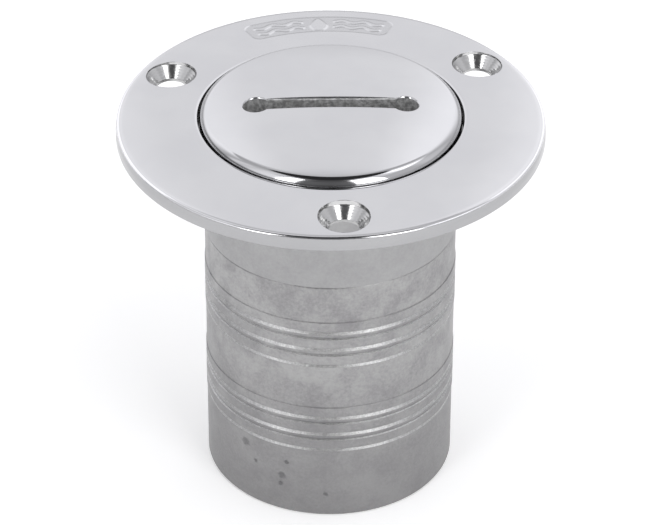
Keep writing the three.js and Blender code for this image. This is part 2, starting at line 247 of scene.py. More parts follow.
def lathe(name, outline, turns=ROUND, at=(0, 0)):
    points, faces = turned_mesh(outline, turns)
    return new_object(name, [(x + at[0], y + at[1], z) for x, y, z in points], faces)


def prism(name, outline, bottom, top):
    """An upright prism on a closed outline of (x, y) points given anticlockwise."""
    count = len(outline)
    points = [(x, y, bottom) for x, y in outline] + [(x, y, top) for x, y in outline]
    faces = [list(range(count))[::-1], list(range(count, 2 * count))]
    for k in range(count):
        m = (k + 1) % count
        faces.append([k, m, count + m, count + k])
    return new_object(name, points, faces)


def swept(name, rings, loop):
    """A skin over rings of points, closed into a loop or with flat ends."""
    size = len(rings[0])
    points = [p for ring in rings for p in ring]
    faces = []
    for i in range(len(rings) if loop else len(rings) - 1):
        following = (i + 1) % len(rings)
        for j in range(size):
            k = (j + 1) % size
            faces.append([i * size + j, following * size + j, following * size + k, i * size + k])
    if not loop:
        faces.append(list(range(size)))
        faces.append(list(range(len(points) - size, len(points)))[::-1])
    return new_object(name, points, faces)


def tube(name, path, radius, across, loop, sides=20):
    """Round wire along a flat path. radius is a number or a function of the place along it, 0 to 1."""
    across = Vector(across)
    rings = []
    count = len(path)
    for i, place in enumerate(path):
        before = path[i - 1] if loop or i else path[0]
        after = path[(i + 1) % count] if loop or i < count - 1 else path[-1]
        side = (Vector(after) - Vector(before)).normalized().cross(across)
        size = radius(i / count) if callable(radius) else radius
        ring = []
        for j in range(sides):
            turn = 2 * math.pi * j / sides
            ring.append(Vector(place) + side * size * math.cos(turn) + across * size * math.sin(turn))
        rings.append(ring)
    return swept(name, rings, loop)


def outward(obj):
    """Turns every face of a closed mesh to face out."""
    work = bmesh.new()
    work.from_mesh(obj.data)
    bmesh.ops.remove_doubles(work, verts=work.verts, dist=1e-7)
    bmesh.ops.recalc_face_normals(work, faces=work.faces)
    work.to_mesh(obj.data)
    work.free()
    return obj


def cut(target, other):
    """Cuts other from target and removes other."""
    outward(target)
    outward(other)
    change = target.modifiers.new("cut", "BOOLEAN")
    change.operation = "DIFFERENCE"
    change.solver = "EXACT"
    change.object = other
    graph = bpy.context.evaluated_depsgraph_get()
    result = bpy.data.meshes.new_from_object(target.evaluated_get(graph))
    target.modifiers.clear()
    target.data = result
    bpy.data.objects.remove(other, do_unlink=True)


def gather(name, parts):
    """Joins several objects' meshes into one object, keeping each as it is."""
    points, faces = [], []
    for part in parts:
        start = len(points)
        points += [v.co / MM for v in part.data.vertices]
        faces += [[start + k for k in face.vertices] for face in part.data.polygons]
        bpy.data.objects.remove(part, do_unlink=True)
    return new_object(name, points, faces)


def smooth(obj, sharp_degrees=32):
    for face in obj.data.polygons:
        face.use_smooth = True
    obj.data.set_sharp_from_angle(angle=math.radians(sharp_degrees))


def dress(obj, body, nodes, materials, pick=None):
    """Rides the piece on its body, stands it for its CAD nodes and gives it its materials."""
    for material in materials:
        obj.data.materials.append(material)
    if pick:
        for face in obj.data.polygons:
            centre = face.center / MM
            face.material_index = pick(math.hypot(centre.x, centre.y), centre, face.normal)
    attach(obj, body)
    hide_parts(*nodes)


def true_normals(obj, belongs, normal_at):
    """Gives the loops of the faces that belong the exact normals of the curved face they lie on."""
    mesh = obj.data
    normals = [tuple(n.vector) for n in mesh.corner_normals]
    for face in mesh.polygons:
        if not belongs(face):
            continue
        for loop in face.loop_indices:
            place = mesh.vertices[mesh.loops[loop].vertex_index].co / MM
            normals[loop] = tuple(normal_at(place))
    mesh.normals_split_custom_set(normals)


# ------------------------------------------------------------------ node helpers
class Look:
    """A procedural material built up node by node, in object coordinates."""

    def __init__(self, name, colour, metallic, roughness):
        self.material = bpy.data.materials.new(name)
        self.material.use_nodes = True
        self.tree = self.material.node_tree
        self.shader = self.tree.nodes["Principled BSDF"]
        self.shader.inputs["Base Color"].default_value = (*colour, 1)
        self.shader.inputs["Metallic"].default_value = metallic
        self.shader.inputs["Roughness"].default_value = roughness
        self.place = self.node("ShaderNodeTexCoord").outputs["Object"]

    def node(self, kind, **settings):
        made = self.tree.nodes.new(kind)
        for key, value in settings.items():
            setattr(made, key, value)
        return made

    def link(self, out, into):
        self.tree.links.new(out, into)

    def noise(self, per_mm, detail=3.0, roughness=0.55, stretch=(1, 1, 1), distortion=0.0):
        mapping = self.node("ShaderNodeMapping")
        mapping.inputs["Scale"].default_value = [s * per_mm / MM for s in stretch]
        self.link(self.place, mapping.inputs["Vector"])
        made = self.node("ShaderNodeTexNoise")
        made.inputs["Scale"].default_value = 1.0
        made.inputs["Detail"].default_value = detail
        made.inputs["Roughness"].default_value = roughness
        made.inputs["Distortion"].default_value = distortion
        self.link(mapping.outputs["Vector"], made.inputs["Vector"])
        return made.outputs["Fac"]

    def math(self, operation, a, b=0.0):
        made = self.node("ShaderNodeMath", operation=operation)
        for socket, value in zip(made.inputs, (a, b)):
            if isinstance(value, (int, float)):
                socket.default_value = value
            else:
                self.link(value, socket)
        return made.outputs["Value"]

    def span(self, value, low, high, out_low, out_high):
        made = self.node("ShaderNodeMapRange", interpolation_type="SMOOTHSTEP")
        self.link(value, made.inputs["Value"])
        keys = ("From Min", "From Max", "To Min", "To Max")
        for key, number in zip(keys, (low, high, out_low, out_high)):
            made.inputs[key].default_value = number
        return made.outputs["Result"]

    def mix(self, factor, a, b):
        made = self.node("ShaderNodeMix", data_type="RGBA")
        self.link(factor, made.inputs["Factor"])
        for key, value in (("A", a), ("B", b)):
            socket = [s for s in made.inputs if s.name == key and s.type == "RGBA"][0]
            if isinstance(value, tuple):
                socket.default_value = (*value, 1)
            else:
                self.link(value, socket)
        return [s for s in made.outputs if s.type == "RGBA"][0]

    def colour(self, out):
        self.link(out, self.shader.inputs["Base Color"])

    def rough(self, out):
        self.link(out, self.shader.inputs["Roughness"])

    def bump(self, height, depth_mm, rounding_mm=0.0):
        """Bump from a 0 to 1 height, over edges that are softened by rounding_mm."""
        made = self.node("ShaderNodeBump")
        made.inputs["Strength"].default_value = 1.0
        made.inputs["Distance"].default_value = depth_mm * MM
        self.link(height, made.inputs["Height"])
        if rounding_mm:
            edge = self.node("ShaderNodeBevel", samples=6)
            edge.inputs["Radius"].default_value = rounding_mm * MM
            self.link(edge.outputs["Normal"], made.inputs["Normal"])
        self.link(made.outputs["Normal"], self.shader.inputs["Normal"])


# ------------------------------------------------------------------ finishes
def polished_steel(name, tone=0.66, roughness=0.09):
    """Buffed stainless steel with faint haze and hairline polishing marks."""
    look = Look(name, (tone, tone, tone * 1.015), 1.0, roughness)
    haze = look.noise(0.09, detail=4)
    hairs = look.noise(0.9, detail=2, stretch=(0.12, 2.2, 1.0))
    look.rough(look.span(look.math("ADD", haze, look.math("MULTIPLY", hairs, 0.35)), 0.35, 1.0,
                         roughness * 0.7, roughness * 1.6))
    tint = look.span(haze, 0.3, 0.7, 0, 1)
    dark = (tone * 0.98, tone * 0.98, tone * 1.0)
    light = (tone * 1.02, tone * 1.02, tone * 1.035)
    look.colour(look.mix(tint, dark, light))
    look.bump(look.math("ADD", look.noise(0.05, detail=2), look.math("MULTIPLY", hairs, 0.02)), 0.03, 0.22)
    return look.material


def cast_steel(name, tone=0.38):
    """Bead-blasted casting: mottled and grainy, smoother above the ribs, with pits near its end, and painted
    shade that darkens it towards the bottom.
    """
    look = Look(name, (tone, tone, tone), 1.0, 0.42)
    split = look.node("ShaderNodeSeparateXYZ")
    look.link(look.place, split.inputs["Vector"])
    height = split.outputs["Z"]
    broad = look.noise(0.11, detail=5, roughness=0.62, distortion=0.4)
    grain = look.noise(1.6, detail=3, roughness=0.7)
    fine = look.noise(4.5, detail=2)
    stain = look.noise(0.28, detail=4, roughness=0.6)
    shade = look.math("ADD", look.math("MULTIPLY", broad, 0.55), look.math("MULTIPLY", stain, 0.3))
    shade = look.math("ADD", shade, look.math("MULTIPLY", grain, 0.3))
    dark = (tone * 0.72, tone * 0.71, tone * 0.725)
    light = (tone * 1.2, tone * 1.195, tone * 1.19)
    mottle = look.mix(look.span(shade, 0.38, 0.76, 0, 1), dark, light)
    # Painted shade: the colour grows darker and flatter towards the neck's bottom.
    lower = look.mix(look.span(height, 0, 46 * MM, 0.6, 0), mottle, (tone * 0.62, tone * 0.61, tone * 0.62))
    band = look.span(height, (BAND_BOTTOM - 0.1) * MM, (BAND_BOTTOM + 0.1) * MM, 0, 0.55)
    banded = look.mix(band, lower, (tone * 1.02, tone * 1.02, tone * 1.03))
    pits = None
    for angle, z, size in PITS:
        turn = math.radians(angle)
        away = look.node("ShaderNodeVectorMath", operation="DISTANCE")
        look.link(look.place, away.inputs[0])
        away.inputs[1].default_value = (NECK_R * math.sin(turn) * MM, -NECK_R * math.cos(turn) * MM, z * MM)
        wobble = look.math("MULTIPLY", look.math("SUBTRACT", grain, 0.5), 0.9 * size * MM)
        ragged = look.math("ADD", away.outputs["Value"], wobble)
        near = look.span(ragged, 0.3 * size * MM, 1.2 * size * MM, 1, 0)
        pits = near if pits is None else look.math("MAXIMUM", pits, near)
    look.colour(look.mix(look.math("MULTIPLY", pits, 0.5), banded, (tone * 0.25, tone * 0.25, tone * 0.26)))
    rough = look.math("ADD", look.math("MULTIPLY", stain, 0.6), look.math("MULTIPLY", fine, 0.4))
    look.rough(look.span(rough, 0.3, 0.7, 0.4, 0.54))
    relief = look.math("ADD", look.math("MULTIPLY", grain, 0.6), look.math("MULTIPLY", fine, 0.25))
    relief = look.math("ADD", relief, look.math("MULTIPLY", broad, 0.5))
    relief = look.math("SUBTRACT", relief, look.math("MULTIPLY", pits, 2.5))
    look.bump(relief, 0.085)
    return look.material


def rib_grain_and_highlight(name, tone=0.5):
    """The ribs' upward faces: a fine grain, and a lighter tone that is a painted highlight."""
    look = Look(name, (tone, tone, tone), 1.0, 0.3)
    grain = look.noise(2.2, detail=4, roughness=0.75)
    patch = look.noise(0.7, detail=3)
    # Painted highlight: the upward rib faces are lighter than the neck's casting.
    look.colour(look.mix(look.span(grain, 0.35, 0.65, 0, 1), (tone * 0.85,) * 3, (tone * 1.22,) * 3))
    look.rough(look.span(patch, 0.3, 0.7, 0.28, 0.42))
    look.bump(look.math("ADD", grain, look.math("MULTIPLY", patch, 0.6)), 0.07)
    return look.material


def machined_steel(name, tone=0.6):
    """Fresh tool marks round each screw hole."""
    look = Look(name, (tone, tone, tone), 1.0, 0.2)
    split = look.node("ShaderNodeSeparateXYZ")
    look.link(look.place, split.inputs["Vector"])
    rings = None
    for angle in HOLE_ANGLES:
        x = HOLE_CIRCLE_R * math.cos(math.radians(angle)) * MM
        y = HOLE_CIRCLE_R * math.sin(math.radians(angle)) * MM
        away_x = look.math("SUBTRACT", split.outputs["X"], x)
        away_y = look.math("SUBTRACT", split.outputs["Y"], y)
        square_x = look.math("MULTIPLY", away_x, away_x)
        square_y = look.math("MULTIPLY", away_y, away_y)
        distance = look.math("SQRT", look.math("ADD", square_x, square_y))
        rings = distance if rings is None else look.math("MINIMUM", rings, distance)
    marks = look.math("SINE", look.math("MULTIPLY", rings, 2 * math.pi / (0.42 * MM)))
    jitter = look.noise(1.2, detail=2)
    height = look.math("ADD", look.math("MULTIPLY", marks, 0.35), jitter)
    look.rough(look.span(jitter, 0.3, 0.7, 0.1, 0.2))
    look.bump(height, 0.013, 0.12)
    return look.material


def turned_steel(name, tone=0.5):
    """Lathe-cut surfaces inside the neck, on the threads and under the cap."""
    look = Look(name, (tone, tone, tone), 1.0, 0.3)
    split = look.node("ShaderNodeSeparateXYZ")
    look.link(look.place, split.inputs["Vector"])
    cut = look.math("SINE", look.math("MULTIPLY", split.outputs["Z"], 2 * math.pi / (0.3 * MM)))
    patch = look.noise(0.25, detail=4)
    look.colour(look.mix(look.span(patch, 0.3, 0.7, 0, 1), (tone * 0.82,) * 3, (tone * 1.1,) * 3))
    look.rough(look.span(patch, 0.3, 0.7, 0.24, 0.4))
    look.bump(look.math("ADD", look.math("MULTIPLY", cut, 0.3), look.noise(1.5, detail=2)), 0.025, 0.12)
    return look.material


def slot_casting(name, tone=0.45):
    """Rough as-cast pocket of the key slot, dulled by use."""
    look = Look(name, (tone, tone, tone), 0.5, 0.5)
    lumps = look.noise(1.1, detail=5, roughness=0.65)
    fine = look.noise(3.5, detail=3, roughness=0.7)
    look.colour(look.mix(look.span(lumps, 0.35, 0.68, 0, 1), (tone * 0.6,) * 3, (tone * 1.35,) * 3))
    look.rough(look.span(fine, 0.3, 0.7, 0.38, 0.62))
    look.bump(look.math("ADD", lumps, look.math("MULTIPLY", fine, 0.5)), 0.16)
    return look.material


def rubber(name):
    look = Look(name, (0.016, 0.016, 0.017), 0.0, 0.55)
    bloom = look.noise(0.5, detail=4)
    look.colour(look.mix(look.span(bloom, 0.35, 0.75, 0, 1), (0.012,) * 3, (0.03, 0.03, 0.031)))
    look.rough(look.span(bloom, 0.3, 0.7, 0.45, 0.65))
    look.bump(look.noise(3.0, detail=2), 0.02)
    return look.material


def wire_steel(name, tone=0.58):
    """Bright drawn wire and bar, lightly scuffed."""
    look = Look(name, (tone, tone, tone * 1.01), 1.0, 0.2)
    scuffs = look.noise(1.4, detail=4, roughness=0.65)
    drawn = look.noise(0.8, detail=2, stretch=(4, 4, 0.3))
    look.colour(look.mix(look.span(scuffs, 0.3, 0.7, 0, 1), (tone * 0.84,) * 3, (tone * 1.08,) * 3))
    look.rough(look.span(scuffs, 0.3, 0.7, 0.14, 0.34))
    look.bump(look.math("ADD", scuffs, look.math("MULTIPLY", drawn, 0.5)), 0.02)
    return look.material


# ------------------------------------------------------------------ the filler body
def rib_corners(top):
    """Outline of one group of hose ribs, from the top down: a flat land, a crease and a rounded bead."""
    corners = [(NECK_R, top + 0.34, 0.08), (NECK_R - 0.04, top + 0.14, 0.03)]
    for i in range(RIBS):
        z = top - i * RIB_PITCH
        corners += [(LAND_R, z, 0.06), (LAND_R, z - 2.0, 0.12), (GROOVE_R, z - 2.28, 0.06)]
        if i < RIBS - 1:
            corners += [(BEAD_R, z - 2.85, 0.25), (BEAD_R - 0.06, z - 3.2, 0.3)]
            corners.append((GROOVE_R + 0.12, z - 3.82, 0.05))
        else:
            corners += [(NECK_R + 0.05, z - 2.8, 0.3), (NECK_R, z - 3.6, 0.5)]
    return corners


def filler_outline():
    outer = [
        (BORE_R + 0.5, 0, 0.2), (NECK_R - 0.35, 0, 0.3), (NECK_R, 0.5, 0.5),
        *reversed(rib_corners(RIB_TOPS[1])),
        *reversed(rib_corners(RIB_TOPS[0])),
        (NECK_R, BAND_BOTTOM - 0.34, 0.08), (NECK_R - 0.16, BAND_BOTTOM - 0.08, 0.03),
        (BAND_R, BAND_BOTTOM + 0.08, 0.05),
        (BAND_R, BOSS_START, 1.5), (BOSS_R, BOSS_START + 3.6, 1.2),
        (BOSS_R, FLANGE_BOTTOM - 1.2, 0.8), (BOSS_R + 1.2, FLANGE_BOTTOM, 0.8),
        (FLANGE_R, FLANGE_BOTTOM, 0.12), (FLANGE_R, 78.2, 1.6), (FLANGE_R - 0.2, 79.52, 0.5),
        (FLANGE_R - 0.7, face_height(FLANGE_R - 0.7) - 0.05, 0.4),
        (FLANGE_R - 1.05, face_height(FLANGE_R - 1.05) - 0.012, 0.4),
    ]
    top = [(r, face_height(r), 0) for r in steps_between(EDGE_START_R, RECESS_BUFF_R, 34)]
    lip = face_height(RECESS_R)
    inner = [
        *((RECESS_BUFF_R - away, lip - RECESS_BUFF_DROP * (away / RECESS_BUFF_WIDTH) ** 1.8, 0)
          for away in (0.15, 0.3, 0.45, 0.6, 0.7, 0.8)),
        (RECESS_R, lip - RECESS_BUFF_DROP, 0.06),
        (RECESS_R, RECESS_FLOOR, 0.2), (SEAT_R, RECESS_FLOOR, 0.15),
        (THREAD_ROOT_R + 0.3, RECESS_FLOOR - SEAT_DEPTH - 0.6, 0.2),
        (THREAD_ROOT_R, RECESS_FLOOR - SEAT_DEPTH - 1.0, 0.2),
        (THREAD_ROOT_R, LIP_TOP + 0.3, 0.2), (LIP_R, LIP_TOP, 0.3), (LIP_R, LIP_BOTTOM, 0.4),
        (BORE_R, LIP_BOTTOM - 3.2, 1.0), (BORE_R, 0.5, 0.4),
    ]
    return rounded(outer + top + inner, 6)


def steps_between(start, end, count):
    return [start + (end - start) * k / count for k in range(count + 1)]


def hole_centre(angle):
    turn = math.radians(angle)
    return HOLE_CIRCLE_R * math.cos(turn), HOLE_CIRCLE_R * math.sin(turn)


def hole_cutter(angle):
    """A through hole, its countersink and the short straight land above it."""
    outline = rounded([
        (0, FLANGE_BOTTOM - 2, 0), (HOLE_R, FLANGE_BOTTOM - 2, 0),
        (HOLE_R, SINK_EDGE - (SINK_R - HOLE_R), 0.12), (SINK_R, SINK_EDGE, 0.15),
        (SINK_R, DOME_TOP + 2, 0), (0, DOME_TOP + 2, 0),
    ])
    return lathe("hole_cutter", outline, 96, hole_centre(angle))


def swell(distance, width):
    """Goes smoothly from 1 inside an outline to 0 outside it, over the given width."""
    t = min(max(0.5 - distance / width, 0), 1)
    return t * t * (3 - 2 * t)


def drop_distance(along, r):
    """Distance from a liquid drop with its tip outwards, negative inside it."""
    places = ((k / 12, PANEL_MIDDLE_R - 0.9 + 3.4 * k / 12) for k in range(13))
    return min(math.hypot(along, r - middle) - 1.75 * (1 - t) ** 0.8 - 0.1 for t, middle in places)


def wave_distance(along, r, middle):
    """Distance from a wavy bar, negative inside it."""
    nearest = min(max(along, WAVE_START), WAVE_END)
    phase = 4 * math.pi * (nearest - WAVE_START) / (WAVE_END - WAVE_START)
    return math.hypot(along - nearest, r - middle - WAVE_SWELL * math.sin(phase)) - WAVE_HALF_WIDTH


def panel_sink(x, y):
    """How far the label panel lies below the flange's face, less its raised drop and waves."""
    r = math.hypot(x, y)
    along = abs(math.atan2(x, y)) * PANEL_MIDDLE_R
    if along > PANEL_REACH or not PANEL_INNER_R - 1 < r < PANEL_OUTER_R + 1:
        return 0.0
    out_along = along - PANEL_HALF_ANGLE * PANEL_MIDDLE_R + PANEL_CORNER_R
    out_r = abs(r - PANEL_MIDDLE_R) - (PANEL_OUTER_R - PANEL_INNER_R) / 2 + PANEL_CORNER_R
    edge = math.hypot(max(out_along, 0), max(out_r, 0)) + min(max(out_along, out_r), 0) - PANEL_CORNER_R
    sign = min(drop_distance(along, r), *(wave_distance(along, r, middle) for middle in WAVE_RADII))
    return PANEL_DEPTH * swell(edge + PANEL_EDGE / 2, PANEL_EDGE) * (1 - swell(sign, PANEL_EDGE))


def panel_cutter():
    """What is sunk into the flange: a block over the panel whose underside is the panel's relief."""
    columns, rows = 220, 60
    grid = []
    for i in range(columns + 1):
        turn = (i / columns - 0.5) * 2 * (PANEL_HALF_ANGLE + 0.02)
        for k in range(rows + 1):
            r = PANEL_INNER_R - 0.4 + (PANEL_OUTER_R - PANEL_INNER_R + 0.8) * k / rows
            x, y = r * math.sin(turn), r * math.cos(turn)
            grid.append((x, y, face_height(r) + 0.0015 - panel_sink(x, y)))
    lids = [(x, y, DOME_TOP + 2) for x, y, _ in grid]
    step, count = rows + 1, len(grid)
    faces = []
    for i in range(columns):
        for k in range(rows):
            square = [i * step + k, (i + 1) * step + k, (i + 1) * step + k + 1, i * step + k + 1]
            faces += [square, [count + corner for corner in reversed(square)]]
    border = [*range(step)] + [(i + 1) * step - 1 for i in range(1, columns + 1)]
    border += [columns * step + k for k in range(rows - 1, -1, -1)]
    border += [i * step for i in range(columns - 1, 0, -1)]
    for here, following in zip(border, border[1:] + border[:1]):
        faces.append([here, following, count + following, count + here])
    return new_object("panel_cutter", grid + lids, faces)


def thread_ridge(name, wall_r, side, middle_bottom):
    """Screw-thread ridge on a round wall; side is 1 for the cap's skirt and -1 for the body."""
    rings = []
    count = int(THREAD_TURNS * THREAD_STEPS)
    run_in = THREAD_STEPS / 8
    for i in range(count + 1):
        turn = 2 * math.pi * i / THREAD_STEPS - math.pi / 2
        z = middle_bottom + THREAD_PITCH * i / THREAD_STEPS
        height = THREAD_HEIGHT * min(1, (i + 1) / run_in, (count - i + 1) / run_in)
        root, crest = wall_r - side * 0.3, wall_r + side * height
        section = [(root, -THREAD_BASE / 2), (crest - side * 0.08, -THREAD_CREST / 2 - 0.06),
                   (crest, -THREAD_CREST / 2 + 0.04), (crest, THREAD_CREST / 2 - 0.04),
                   (crest - side * 0.08, THREAD_CREST / 2 + 0.06), (root, THREAD_BASE / 2)]
        rings.append([(r * math.cos(turn), r * math.sin(turn), z + dz) for r, dz in section])
    return outward(swept(name, rings, False))


def on_face(centre, r):
    below = face_height(r) - centre.z
    if not RECESS_BUFF_R - FACE_TOLERANCE < r < EDGE_START_R + FACE_TOLERANCE:
        return False
    return abs(below - panel_sink(centre.x, centre.y)) < FACE_TOLERANCE


def body_finish(r, centre, normal):
    """Which finish, or painted highlight, a face of the filler body has."""
    near_hole = min(math.dist(centre.xy, hole_centre(angle)) for angle in HOLE_ANGLES)
    if centre.z > FLANGE_BOTTOM + 0.05 and near_hole < SINK_R + 0.05 and not on_face(centre, r):
        return RECESS_CUT if near_hole < HOLE_R + 0.05 else COUNTERSINK_CUT
    if r > RECESS_R + 0.02 and centre.z > FLANGE_BOTTOM + 0.02:
        if r > FLANGE_R - 0.6 and normal.z < 0.97:
            # Steep faces take the side's finish; the rounded rim above them takes a much lighter copy of the
            # polish, a painted highlight.
            return FLANGE_SIDE if normal.z < 0.3 else FLANGE_EDGE_HIGHLIGHT
        sunk = on_face(centre, r) and panel_sink(centre.x, centre.y) > 0.6 * PANEL_DEPTH
        return PANEL_FLOOR if sunk else FLANGE_POLISH
    if r < NECK_R - 0.35:
        return BORE_CUT
    if centre.z > FLANGE_BOTTOM - 0.5 and r <= RECESS_R + 0.02:
        return RECESS_CUT
    on_line = any(abs(centre.z - top) < RIB_LINE for top in RIB_TOPS)
    # Upward-facing rib faces get the lighter rib material, a painted highlight.
    return RIB_GRAIN_AND_HIGHLIGHT if normal.z > 0.3 and centre.z < RIB_TOPS[0] and not on_line else NECK_CASTING


def face_normal_at(place):
    r = math.hypot(place.x, place.y)
    slope = face_slope(r)
    step = 0.04
    sink_x = (panel_sink(place.x + step, place.y) - panel_sink(place.x - step, place.y)) / (2 * step)
    sink_y = (panel_sink(place.x, place.y + step) - panel_sink(place.x, place.y - step)) / (2 * step)
    return Vector((sink_x - slope * place.x / r, sink_y - slope * place.y / r, 1)).normalized()


def make_filler():
    body = lathe("filler_casting", filler_outline())
    for angle in HOLE_ANGLES:
        cut(body, hole_cutter(angle))
    cut(body, panel_cutter())
    middle = CAP_THREAD_BOTTOM - THREAD_PITCH / 2
    body = gather("filler_casting", [body, thread_ridge("body_thread", THREAD_ROOT_R, -1, middle)])
    smooth(body)
    dress(body, "filler", ["filler_body"],
          [polished_steel("flange_polish"), cast_steel("neck_casting"), machined_steel("countersink_cut"),
           turned_steel("bore_cut", 0.42), turned_steel("recess_cut", 0.5),
           polished_steel("flange_side", 0.42, 0.16), polished_steel("panel_floor", 0.6, 0.16),
           # The last material is the polish made much lighter: a painted highlight on the flange's rounded
           # rim.
           rib_grain_and_highlight("rib_grain_and_highlight"), polished_steel("flange_edge_highlight", 0.9, 0.07)], body_finish)

    def top_face(face):
        centre = face.center / MM
        return on_face(centre, math.hypot(centre.x, centre.y)) and face.normal.z > 0.9

    true_normals(body, top_face, face_normal_at)


# ------------------------------------------------------------------ the cap and its seal
def slot_outline():
    """Dog-bone key slot: a straight slot with a round end at each side."""
    reach = math.asin(SLOT_HALF_WIDTH / SLOT_END_R)
    outline = []
    for side in (1, -1):
        for k in range(33):
            turn = (math.pi - reach) * (2 * k / 32 - 1)
            x = side * (SLOT_END_AT + SLOT_END_R * math.cos(turn))
            y = side * SLOT_END_R * math.sin(turn)
            outline.append((x * math.cos(SLOT_TURN) - y * math.sin(SLOT_TURN),
                            x * math.sin(SLOT_TURN) + y * math.cos(SLOT_TURN)))
    return outline


def slot_cutter():
    """The key slot's cutter, flared where it meets the dome so that the slot's edge is broken."""
    outline = [Vector(point) for point in slot_outline()]
    wide = []
    for i, point in enumerate(outline):
        along = outline[(i + 1) % len(outline)] - outline[i - 1]
        wide.append(point + Vector((along.y, -along.x)).normalized() * SLOT_BREAK)
    floor = [(p.x, p.y, SLOT_FLOOR) for p in outline]
    neck = [(p.x, p.y, cap_height(p.length) - SLOT_BREAK) for p in outline]
    mouth = [(p.x, p.y, cap_height(p.length) + 0.01) for p in wide]
    above = [(p.x, p.y, CAP_TOP + 2) for p in wide]
    return swept("slot_cutter", [floor, neck, mouth, above], False)


def cap_outline():
    middle_r = CAP_R - CAP_RIM_R
    tangent = math.pi / 2 + math.atan(cap_slope(CAP_RIM_START_R))
    middle_z = cap_height(CAP_RIM_START_R) - CAP_RIM_R * math.sin(tangent)
    rim = []
    for turn in steps_between(0, tangent, 24):
        rim.append((middle_r + CAP_RIM_R * math.cos(turn), middle_z + CAP_RIM_R * math.sin(turn), 0))
    dome = [(r, cap_height(r), 0) for r in steps_between(rim[-1][0] - 0.5, 1.0, 30)]
    return rounded([
        (0, HUB_BOTTOM, 0), (HUB_R, HUB_BOTTOM, 0.4), (HUB_R, CAP_CEILING, 0.3),
        (SKIRT_INNER_R, CAP_CEILING, 1.2), (SKIRT_INNER_R, SKIRT_BOTTOM, 0.3),
        (SKIRT_R, SKIRT_BOTTOM, 0.5), (SKIRT_R, CAP_UNDERSIDE, 0.2),
        (CAP_R, CAP_UNDERSIDE, 0.3), *rim, *dome, (0, CAP_TOP, 0),
    ], 10)


def cap_finish(r, centre, _):
    """Which finish a face of the cap has."""
    in_slot = centre.z > SLOT_FLOOR - 0.2 and r < SLOT_END_AT + SLOT_END_R + 0.2
    if in_slot and centre.z < cap_height(r) - SLOT_BREAK:
        return SLOT_CASTING
    rim = centre.z > CAP_UNDERSIDE - 0.1 and r > SKIRT_R + 0.3
    return CAP_POLISH if rim or centre.z > SLOT_FLOOR else SKIRT_CUT


def cap_normal_at(place):
    r = math.hypot(place.x, place.y)
    slope = cap_slope(r) / max(r, 1e-6)
    return Vector((-slope * place.x, -slope * place.y, 1)).normalized()


def make_cap():
    cap = lathe("cap_turning", cap_outline())
    cut(cap, slot_cutter())
    cap = gather("cap_turning", [cap, thread_ridge("cap_thread", SKIRT_R, 1, CAP_THREAD_BOTTOM)])
    smooth(cap)
    dress(cap, "cap", ["fill_cap"],
          [polished_steel("cap_polish", 0.66, 0.07), slot_casting("slot_casting"),
           turned_steel("skirt_cut", 0.52)], cap_finish)

    def dome_face(face):
        centre = face.center / MM
        r = math.hypot(centre.x, centre.y)
        return r < CAP_RIM_START_R and abs(centre.z - cap_height(r)) < FACE_TOLERANCE and face.normal.z > 0.9

    true_normals(cap, dome_face, cap_normal_at)


def make_seal():
    inner, outer = SKIRT_R + 0.15, seal_high.x
    bottom, top = seal_low.z, seal_high.z
    outline = rounded([
        (inner, bottom, 0.9), (outer - 0.75, bottom, 0.8), (outer, bottom + 1.0, 0.8),
        (outer, top, 0.7), (inner, top, 0.9),
    ], 8)
    seal = lathe("seal_ring", outline)
    outward(seal)
    smooth(seal, 60)
    dress(seal, "cap", ["cap_o_ring"], [rubber("seal_rubber")])


# ------------------------------------------------------------------ the screw, swivel and chain
def make_screw():
    outline = rounded([
        (0, SCREW_HEAD_BOTTOM, 0), (SCREW_HEAD_R, SCREW_HEAD_BOTTOM, 1.5),
        (SCREW_HEAD_R, SCREW_HEAD_TOP, 0.15),
        (SCREW_R, SCREW_HEAD_TOP, 0.1), (SCREW_R, SCREW_END, 0.5), (0, SCREW_END, 0),
    ], 8)
    screw = lathe("screw_turning", outline, 96)
    for turn in (math.pi / 4, 3 * math.pi / 4):
        spin = Matrix.Rotation(turn, 2)
        bar = rounded([(-2.2, -0.42, 0.2), (2.2, -0.42, 0.2), (2.2, 0.42, 0.2), (-2.2, 0.42, 0.2)])
        outline = [tuple(spin @ p) for p in bar]
        cut(screw, prism("cross_cutter", outline, SCREW_HEAD_BOTTOM - 1, SCREW_HEAD_BOTTOM + 1.3))
    smooth(screw)
    dress(screw, "cap", ["chain_screw"], [wire_steel("screw_steel", 0.6)])


